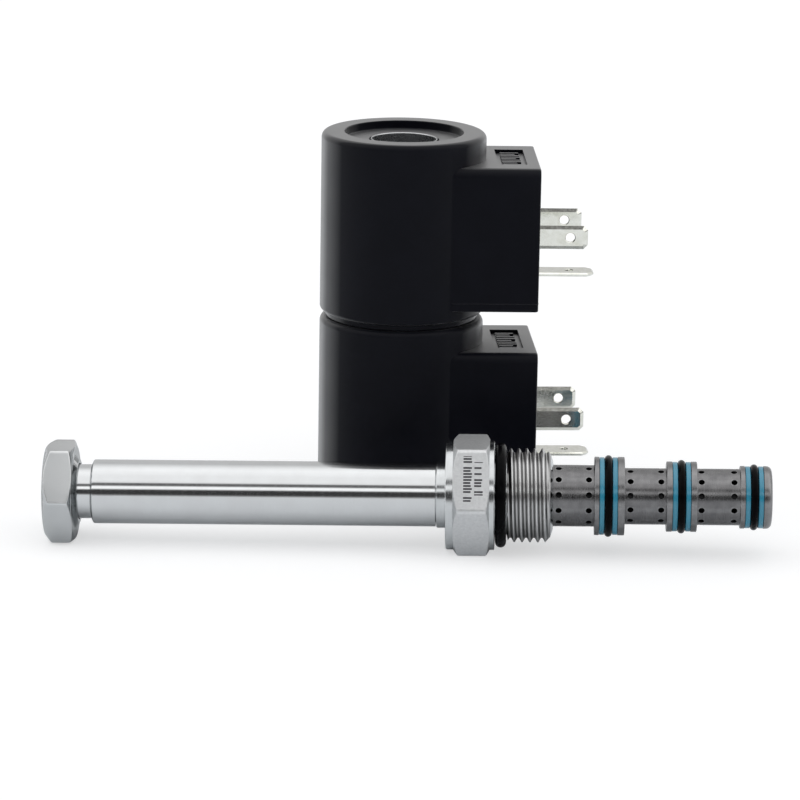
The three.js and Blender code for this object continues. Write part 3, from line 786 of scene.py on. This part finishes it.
def tube_and_plug(where):
    left, right, bore, radius = spans("guide_tube", where)
    outline = rounded([(left, bore, 0.1), (left, radius, 0.45), (right, radius, 0.08), (right, bore, 0)])
    show("guide_tube", turned("guide_tube", outline), where)
    start, end, _, neck = spans("end_plug", where)
    neck_right = left - PLUG["gap"]
    outline = rounded([
        (start, 0, 0), (start, PLUG["stub"], 0.3), (PLUG["neck_left"], PLUG["stub"], 0),
        (PLUG["neck_left"], neck, 0.15), (neck_right, neck, 0.08), (neck_right, PLUG["spigot"], 0),
        (end, PLUG["spigot"], 0.2), (end, 0, 0),
    ])
    show("end_plug", turned("end_plug", outline), where)


def sleeve_outline():
    """The ported sleeve's section: stepped lands, seal grooves and the rounded nose."""
    radius = SLEEVE["body"]
    corners = [(SLEEVE["left"], SLEEVE["bore"], 0), (SLEEVE["left"], radius, 0.4)]
    section_left = SLEEVE["left"]
    for land in LANDS:
        rows = [row for row in PORTS["rows"] if section_left < row < land["left"]]
        corners += [(row + side * PORT_REACH, radius, 0) for row in rows for side in (-1, 1)]
        section_left = land["right"]
        middle = centre_along(f"{land['name']}_o_ring")
        bottom = land["radius"] - SEAL_GROOVE["depth"]
        groove_left = middle - SEAL_GROOVE["width"] / 2
        groove_right = middle + SEAL_GROOVE["width"] / 2
        corners += [
            (land["left"], radius, 0.12), (land["left"], land["radius"], 0.18),
            (groove_left, land["radius"], 0.06), (groove_left, bottom, 0.1),
            (groove_right, bottom, 0.1), (groove_right, land["radius"], 0.06),
        ]
        if land["right"] < LANDS[-1]["right"]:
            radius = SLEEVE["waist"]
            corners += [(land["right"], land["radius"], 0.18), (land["right"], radius, 0.12)]
    nose = LANDS[-1]
    corners += [(nose["right"], nose["radius"], SLEEVE["nose_round"]), (nose["right"], SLEEVE["bore"], 0.25)]
    return rounded(corners)


def centre_along(node):
    left, right, _, _ = spans(node, CARTRIDGE)
    return (left + right) / 2


def port_drill(row, index):
    """One radial drill, flared where it breaks the surface."""
    surface = SLEEVE["body"] if row < LANDS[0]["left"] else SLEEVE["waist"]
    radius = PORTS["radius"]
    inner, outer = SLEEVE["bore"] - 1.0, surface + 0.5
    outline = [(inner, 0), (inner, radius), (surface - 0.1, radius), (outer, radius + PORT_FLARE), (outer, 0)]
    drill = turned("drill", outline, sides=28, upright=True)
    angle = math.radians(PORTS["phase"] + 360 / PORTS["count"] * index)
    # The drill stands along +Z, is tipped to point along -Y and is turned about X.
    turn = Matrix.Rotation(-angle, 4, "X") @ Matrix.Rotation(TURN / 4, 4, "X")
    drill.transform(Matrix.Translation((row * MM, 0, 0)) @ turn)
    return drill


def round_off(mesh):
    """Gives the sleeve's turned faces true radial normals, so the drilled rows don't show in its gloss."""
    normals = [corner.vector.copy() for corner in mesh.corner_normals]
    for face in mesh.polygons:
        outward = Vector((0, face.center.y, face.center.z)).normalized()
        if face.normal.dot(outward) < ROUND_FACE:
            continue
        for corner in face.loop_indices:
            point = mesh.vertices[mesh.loops[corner].vertex_index].co
            normals[corner] = Vector((0, point.y, point.z)).normalized()
    mesh.normals_split_custom_set(normals)


def paint_port_shade(mesh):
    """Paints shade on the walls of the drilled ports: a near-black finish that stands in for the shade inside
    them.
    """
    mesh.materials.append(PAINTED_BORE_SHADE)
    for face in mesh.polygons:
        in_row = any(abs(face.center.x / MM - row) < PORT_REACH for row in PORTS["rows"])
        outward = Vector((0, face.center.y, face.center.z)).normalized()
        if in_row and abs(face.normal.dot(outward)) < PORT_WALL:
            face.material_index = len(mesh.materials) - 1


def ported_sleeve(where):
    blank = turned("ported_sleeve", sleeve_outline())
    drills = [port_drill(row, index) for row in PORTS["rows"] for index in range(PORTS["count"])]
    drilled = combined(blank, [("DIFFERENCE", merged(drills, "drills"))])
    show("ported_sleeve", drilled, where, even=False)
    round_off(drilled)
    paint_port_shade(drilled)


def seals(where):
    rings = ["body_o_ring", "nut_o_ring"] + [f"{land['name']}_o_ring" for land in LANDS]
    for node in rings:
        left, right, inner, outer = spans(node, where)
        outline = round_section((left + right) / 2, (inner + outer) / 2, (right - left) / 2)
        show(node, turned(node, outline), where)
    for land in LANDS:
        for side in ("tube", "nose"):
            node = f"{land['name']}_backup_ring_{side}_side"
            left, right, inner, outer = spans(node, where)
            outline = rounded([
                (left, inner, 0.1), (left, outer, 0.14), (right, outer, 0.14), (right, inner, 0.1),
            ])
            show(node, turned(node, outline), where)


# ---- coils --------------------------------------------------------------------------------------

def housing_shell():
    """The moulded cylinder with its foot ring, its recess and the hollow that the winding fills."""
    c = COIL
    height, floor = c["height"], c["height"] - c["recess_depth"]
    outline = rounded([
        (c["foot"], c["lip"], 0), (c["foot"], c["foot_in"], 0.3), (0, c["foot_in"], 0.25),
        (0, c["foot_out"], 0.25),
        (c["foot"], c["foot_out"], 0.3), (c["foot"], c["radius"], 0.8), (height, c["radius"], c["rim"]),
        (height, c["recess"], 0.25), (floor, c["recess"], 0.25), (floor, c["lip"], 0),
        (c["cavity_high"], c["lip"], 0), (c["cavity_high"], c["cavity"], 0),
        (c["cavity_low"], c["cavity"], 0), (c["cavity_low"], c["lip"], 0),
    ], steps=6)
    return turned("housing", outline, sides=COIL_SIDES, upright=True)


def block_outline(half, face, edge):
    """The plug block from above: root arc inside the wall, a fillet to the cylinder on each side, face."""
    b = BLOCK
    wall = COIL["radius"] - b["overlap"]
    reach = wall + b["fillet"]
    middle_x = math.sqrt(reach ** 2 - (half + b["fillet"]) ** 2)
    swing = math.atan2(half + b["fillet"], middle_x)
    side = []
    for step in range(9):  # the fillet, from the cylinder to the block's side
        angle = math.pi - swing + (swing - TURN / 4) * step / 8
        x = middle_x + b["fillet"] * math.cos(angle)
        y = -half - b["fillet"] + b["fillet"] * math.sin(angle)
        side.append((x, y))
    for step in range(5):  # the vertical edge of the plug face
        angle = -TURN / 4 + TURN / 4 * step / 4
        side.append((face - edge + edge * math.cos(angle), -half + edge + edge * math.sin(angle)))
    root = []
    for step in range(25):
        angle = swing - 2 * swing * step / 24
        root.append((b["root"] * math.cos(angle), b["root"] * math.sin(angle)))
    return [*side, *((x, -y) for x, y in reversed(side)), *root]


def block_mesh():
    """The plug block in level slices: bevelled foot, moulding flash, straight sides, rounded shoulders."""
    b = BLOCK
    slices = []
    for step in range(4):
        angle = TURN / 4 * step / 3
        inset = b["edge"] * (1 - math.sin(angle))
        slices.append((b["low"] + b["edge"] * (1 - math.cos(angle)), inset, inset))
    flash = b["low"] + b["parting"]
    for rise, proud in ((-0.12, 0.0), (-0.04, 1.0), (0.04, 1.0), (0.12, 0.0)):
        slices.append((flash + rise, -b["flash"] * proud, -b["flash"] * proud))
    for step in range(11):
        angle = TURN / 4 * step / 10
        level = b["high"] - b["shoulder"] * (1 - math.sin(angle))
        off_top = b["high"] - level
        face_inset = b["edge"] - math.sqrt(max(b["edge"] ** 2 - max(b["edge"] - off_top, 0) ** 2, 0))
        slices.append((level, b["shoulder"] * (1 - math.cos(angle)), face_inset))
    return stacked("block", [
        (z, block_outline(b["half"] - side_inset, b["face"] - face_inset, b["corner"]))
        for z, side_inset, face_inset in slices
    ])


def blade_places():
    """Each blade's name, its dimensions, its place across and up the plug face, and whether it lies flat."""
    height, spacing = PLUG_FACE["height"], PLUG_FACE["spacing"]
    return (
        ("power_blade_front", POWER_BLADE, -spacing / 2, height, False),
        ("power_blade_rear", POWER_BLADE, spacing / 2, height, False),
        ("ground_blade", GROUND_BLADE, 0.0, height - PLUG_FACE["ground_drop"], True),
    )


def housing_cutters():
    """What the moulding leaves open: the marking pocket, the blade slots and the plug's screw hole."""
    p = POCKET
    cutters = [box("pocket", (p["left"], p["right"]), (-p["half"], p["half"]),
                   (BLOCK["high"] - p["depth"], BLOCK["high"] + 1))]
    for name, blade, across, up, flat in blade_places():
        wide, thick = blade["wide"] / 2 + BLADE_GAP, blade["thick"] / 2 + BLADE_GAP
        half_y, half_z = (wide, thick) if flat else (thick, wide)
        cutters.append(box(name, (BLOCK["face"] - BLADE_ROOT - BLADE_GAP, BLOCK["face"] + 1),
                           (across - half_y, across + half_y), (up - half_z, up + half_z)))
    bottom = BLOCK["face"] - PLUG_FACE["screw_depth"]
    hole = turned("screw", [
        (bottom, 0), (bottom, PLUG_FACE["screw"]),
        (BLOCK["face"] - 0.25, PLUG_FACE["screw"]), (BLOCK["face"] + 0.5, PLUG_FACE["screw"] + 0.75),
        (BLOCK["face"] + 0.5, 0),
    ], sides=48)
    hole.transform(Matrix.Translation((0, 0, PLUG_FACE["height"] * MM)))
    return merged([*cutters, hole], "cutters")


def pocket_ribs():
    """Plain raised bars on the pocket's floor."""
    p, r = POCKET, RIBS
    floor = BLOCK["high"] - p["depth"]
    length = 2 * (p["half"] - r["margin"])
    ribs = []
    for index in range(r["count"]):
        middle = -length / 2 + length * (index + 0.5) / r["count"]
        trim = r["trim"] if index % 3 == 1 else 0.0
        along = (p["left"] + r["margin"], p["right"] - r["margin"] - trim)
        across = (middle - r["width"] / 2, middle + r["width"] / 2)
        ribs.append(box(f"rib{index}", along, across, (floor - 0.2, floor + r["rise"]), 0.08))
    return merged(ribs, "ribs")


def housing_mesh():
    return combined(housing_shell(), [
        ("UNION", block_mesh()), ("DIFFERENCE", housing_cutters()), ("UNION", pocket_ribs()),
    ])


def blade_outline(blade, inset):
    """A contact blade in its own plane, with a tapered tip, drawn in by inset all round."""
    start, end, half = BLOCK["face"] - BLADE_ROOT, blade["end"] - inset, blade["wide"] / 2 - inset
    tip = blade["tip"] - inset * (2 - math.sqrt(2))
    soft = tip / 2
    return rounded([
        (start, -half, 0), (end - tip, -half, soft), (end, -half + tip, soft), (end, half - tip, soft),
        (end - tip, half, soft), (start, half, 0),
    ])


def blade_mesh(name, blade, across, up, flat):
    """A contact blade along +X, coined to broad bevels along its edges and pierced with a hole."""
    half, fall = blade["thick"] / 2, blade["fall"]
    levels = ((-half, blade["bevel"]), (fall - half, 0.0), (half - fall, 0.0), (half, blade["bevel"]))
    plate = stacked(name, [(level, blade_outline(blade, inset)) for level, inset in levels])
    punch = turned("punch", [
        (-half - 0.1, 0), (-half - 0.1, blade["hole"] + 0.2), (0.1 - half, blade["hole"]),
        (half - 0.1, blade["hole"]), (half + 0.1, blade["hole"] + 0.2), (half + 0.1, 0),
    ], sides=40, upright=True)
    punch.transform(Matrix.Translation((blade["hole_at"] * MM, 0, 0)))
    mesh = combined(plate, [("DIFFERENCE", punch)])
    stand = Matrix.Identity(4) if flat else Matrix.Rotation(TURN / 4, 4, "X")
    mesh.transform(Matrix.Translation((0, across * MM, up * MM)) @ stand)
    return mesh


def bore_liner(coil, where):
    node = f"{coil}_bore_liner"
    low, high, bore, radius = spans(node, where, upright=True)
    outline = rounded([(low, bore, 0.18), (low, radius, 0.1), (high, radius, 0.12), (high, bore, 0.2)])
    show(node, turned(node, outline, upright=True), where)


def coil(name, housing):
    where = coil_frame(name)
    show(f"{name}_housing", housing.copy(), where)
    bore_liner(name, where)
    for blade_name, blade, across, up, flat in blade_places():
        node = f"{name}_{blade_name}"
        show(node, blade_mesh(node, blade, across, up, flat), where, crease=COINED_ANGLE)


# ---- what stays inside --------------------------------------------------------------------------

def finish_hidden_nodes():
    """CAD pieces that the valve or a coil closes in keep their shape and get the real finish, except the
    spool, which gets the painted bore shade.
    """
    shown = {name for obj in bpy.data.objects for name in obj.get("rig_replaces", [])}
    for node, obj in frame["nodes"].items():
        if node not in shown:
            # The spool is painted dark: painted shade where it shows through the ports.
            finish = PAINTED_BORE_SHADE if node == "spool" else MATERIALS[SUBPARTS[node]["material_slot"]]
            obj.data.materials.clear()
            obj.data.materials.append(finish)


# ---- camera, floor and light --------------------------------------------------------------------

def camera():
    axis = centre("upper_coil_winding")
    data = bpy.data.cameras.new("camera")
    data.lens = CAMERA["lens"]
    data.sensor_width = 36
    data.clip_end = 20
    view = bpy.data.objects.new("camera", data)
    heading = Matrix.Rotation(math.radians(CAMERA["heading"]), 4, "Z")
    place = Vector((CAMERA["right"], -CAMERA["near"], CAMERA["up"])) * MM
    tilt = Matrix.Rotation(math.radians(90 - CAMERA["pitch"]), 4, "X")
    roll = Matrix.Rotation(math.radians(CAMERA["roll"]), 4, "Z")
    stand = Matrix.Translation((axis.x, axis.y, 0)) @ heading @ Matrix.Translation(place)
    view.matrix_world = stand @ tilt @ roll
    bpy.context.scene.collection.objects.link(view)
    bpy.context.scene.camera = view


def studio_floor():
    """A wide pale floor. Its reflection in the metal is greyer than its lit surface, as on a white sweep."""
    bm = bmesh.new()
    bmesh.ops.create_grid(bm, x_segments=4, y_segments=4, size=6.0)
    mesh = bpy.data.meshes.new("floor")
    bm.to_mesh(mesh)
    bm.free()
    floor = loose_object(mesh)
    material, tree = new_material("pale_floor")
    seen = add_node(tree, "ShaderNodeLightPath").outputs["Is Camera Ray"]
    lit = add_node(tree, "ShaderNodeBsdfDiffuse", {"Color": (0.9, 0.905, 0.915, 1)})
    glow = add_node(tree, "ShaderNodeEmission", {"Color": (0.99, 0.995, 1, 1), "Strength": 1.25})
    washed = add_node(tree, "ShaderNodeMixShader", {0: 0.45, 1: lit.outputs[0], 2: glow.outputs[0]})
    grey = add_node(tree, "ShaderNodeBsdfDiffuse", {"Color": (0.83, 0.85, 0.87, 1)})
    both = add_node(tree, "ShaderNodeMixShader", {0: seen, 1: grey.outputs[0], 2: washed.outputs[0]})
    add_node(tree, "ShaderNodeOutputMaterial", {"Surface": both.outputs[0]})
    mesh.materials.append(material)


# The room's brightness by the angle from the camera's side of the horizon, up over the top and down
# behind the object, in degrees: dark room, light strip, gap, wide soft box, pale backdrop.
ROOM = (
    (0, 0.42), (3, 0.38), (5, 0.05), (22, 0.05), (26, 1.35), (33.5, 1.35), (37, 0.14), (45, 0.14), (48, 0.95),
    (52, 1.12), (74, 1.12), (84, 1.2), (100, 1.29), (112, 1.18), (124, 0.93), (136, 0.67), (180, 0.6),
    (182, 0.45), (270, 0.3), (358, 0.4), (360, 0.42),
)


def room_light():
    world = bpy.data.worlds.new("studio")
    bpy.context.scene.world = world
    world.use_nodes = True
    tree = world.node_tree
    tree.nodes.clear()
    way = add_node(tree, "ShaderNodeTexCoord").outputs["Generated"]
    parts = add_node(tree, "ShaderNodeSeparateXYZ", {0: way})
    toward = calculate(tree, "MULTIPLY", parts.outputs["Y"], -1.0)
    angle = calculate(tree, "ARCTAN2", parts.outputs["Z"], toward)
    share = calculate(tree, "FLOORED_MODULO", calculate(tree, "DIVIDE", angle, TURN), 1.0)
    peak = max(level for _, level in ROOM)
    bands = ramp(tree, share, [(degrees / 360, level / peak) for degrees, level in ROOM])
    seen = add_node(tree, "ShaderNodeLightPath").outputs["Is Camera Ray"]
    room = add_node(tree, "ShaderNodeBackground", {"Color": bands, "Strength": peak})
    white = add_node(tree, "ShaderNodeBackground", {"Color": (1, 1, 1, 1), "Strength": 1.0})
    both = add_node(tree, "ShaderNodeMixShader", {0: seen, 1: room.outputs[0], 2: white.outputs[0]})
    add_node(tree, "ShaderNodeOutputWorld", {"Surface": both.outputs[0]})


# ---- assembly -----------------------------------------------------------------------------------

camera()
bpy.context.scene.view_settings.view_transform = "Standard"
studio_floor()
room_light()

CARTRIDGE = cartridge_frame()
hex_body(CARTRIDGE)
coil_nut(CARTRIDGE)
tube_and_plug(CARTRIDGE)
ported_sleeve(CARTRIDGE)
seals(CARTRIDGE)

moulding = housing_mesh()
for coil_name in ("lower_coil", "upper_coil"):
    coil(coil_name, moulding)

finish_hidden_nodes()
